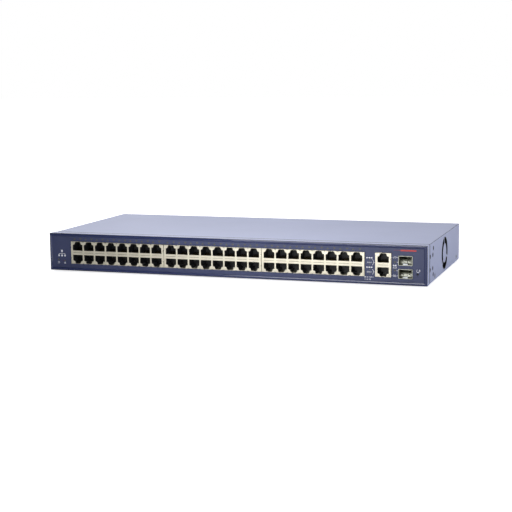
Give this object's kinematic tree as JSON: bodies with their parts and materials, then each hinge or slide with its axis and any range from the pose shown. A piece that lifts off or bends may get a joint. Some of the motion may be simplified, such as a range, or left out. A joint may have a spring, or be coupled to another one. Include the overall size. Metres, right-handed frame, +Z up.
{
  "type": "rackmount network switch",
  "caption": "Flat steel rack casing with a dark blue front, stacked network sockets, transceiver cages, indicator lights, a side fan and a rear mains inlet.",
  "frame": {"origin": "under the middle of the part, at the level that its feet stand on", "axes": "+X to the right seen from the front, +Y from the front to the back, +Z up"},
  "size_m": [0.44, 0.205, 0.045],
  "materials": {
    "casing_paint": "satin",
    "bezel_plastic": "satin",
    "label_film": "satin",
    "tin_plate": "satin",
    "zinc_plate": "satin",
    "black_plastic": "matte",
    "gold_plate": "polished",
    "light_guide_acrylic": "gloss",
    "board_laminate": "satin",
    "power_laminate": "satin",
    "copper_wire": "satin",
    "heat_sink_aluminium": "satin",
    "capacitor_sleeve": "gloss",
    "ivory_nylon": "satin",
    "insulating_film": "satin",
    "lead_pvc": "satin",
    "fuse_glass": "gloss",
    "lamp_resin": "gloss",
    "foot_rubber": "matte"
  },
  "bodies": {
    "casing": {"base_tray": "casing_paint", "top_cover": "casing_paint", "front_frame": "casing_paint", "front_bezel": "bezel_plastic", "front_label": "label_film", "cover_screws": "zinc_plate", "rubber_feet": "foot_rubber", "jack_housing_1": "black_plastic", "jack_housing_2": "black_plastic", "jack_housing_3": "black_plastic", "jack_housing_4": "black_plastic", "jack_shield_1": "tin_plate", "jack_shield_2": "tin_plate", "jack_shield_3": "tin_plate", "jack_shield_4": "tin_plate", "jack_contacts": "gold_plate", "upper_cage": "zinc_plate", "lower_cage": "zinc_plate", "cage_spacer": "black_plastic", "cage_springs": "tin_plate", "cage_connectors": "black_plastic", "light_guide_1": "light_guide_acrylic", "light_guide_2": "light_guide_acrylic", "light_guide_3": "light_guide_acrylic", "light_guide_4": "light_guide_acrylic", "light_guide_5": "light_guide_acrylic", "light_guide_6": "light_guide_acrylic", "board_lights": "lamp_resin", "reset_switch": "zinc_plate", "main_board": "board_laminate", "board_standoffs": "zinc_plate", "board_screws": "zinc_plate", "port_transformers": "black_plastic", "switch_chips": "black_plastic", "heat_sinks": "heat_sink_aluminium", "clock_crystal": "zinc_plate", "board_capacitors": "capacitor_sleeve", "lead_plugs": "ivory_nylon", "power_board": "power_laminate", "insulating_sheet": "insulating_film", "power_transformer": "copper_wire", "mains_capacitor": "capacitor_sleeve", "line_choke": "copper_wire", "output_capacitors": "capacitor_sleeve", "power_heat_sink": "heat_sink_aluminium", "power_fuse": "fuse_glass", "power_inlet": "black_plastic", "inlet_pins": "gold_plate", "inlet_screws": "zinc_plate", "earth_screw": "zinc_plate", "internal_leads": "lead_pvc", "fan_frame": "black_plastic", "fan_bearing": "gold_plate", "fan_stator": "copper_wire", "fan_bracket": "zinc_plate", "fan_screws": "zinc_plate"},
    "fan_wheel": {"fan_rotor": "black_plastic", "fan_shaft": "zinc_plate"},
    "button": {"reset_button": "black_plastic"}
  },
  "joints": [
    {"name": "fan_spin", "type": "hinge", "parent": "casing", "child": "fan_wheel", "pos_m": [0.208, 0.0028, 0.023], "axis": [1, 0, 0], "continuous": true},
    {"name": "reset_press", "type": "slide", "parent": "casing", "child": "button", "axis": [0, 1, 0], "range_m": [0, 0.0003], "stiffness_N_per_m": 2000, "springref_m": -0.0003}
  ]
}
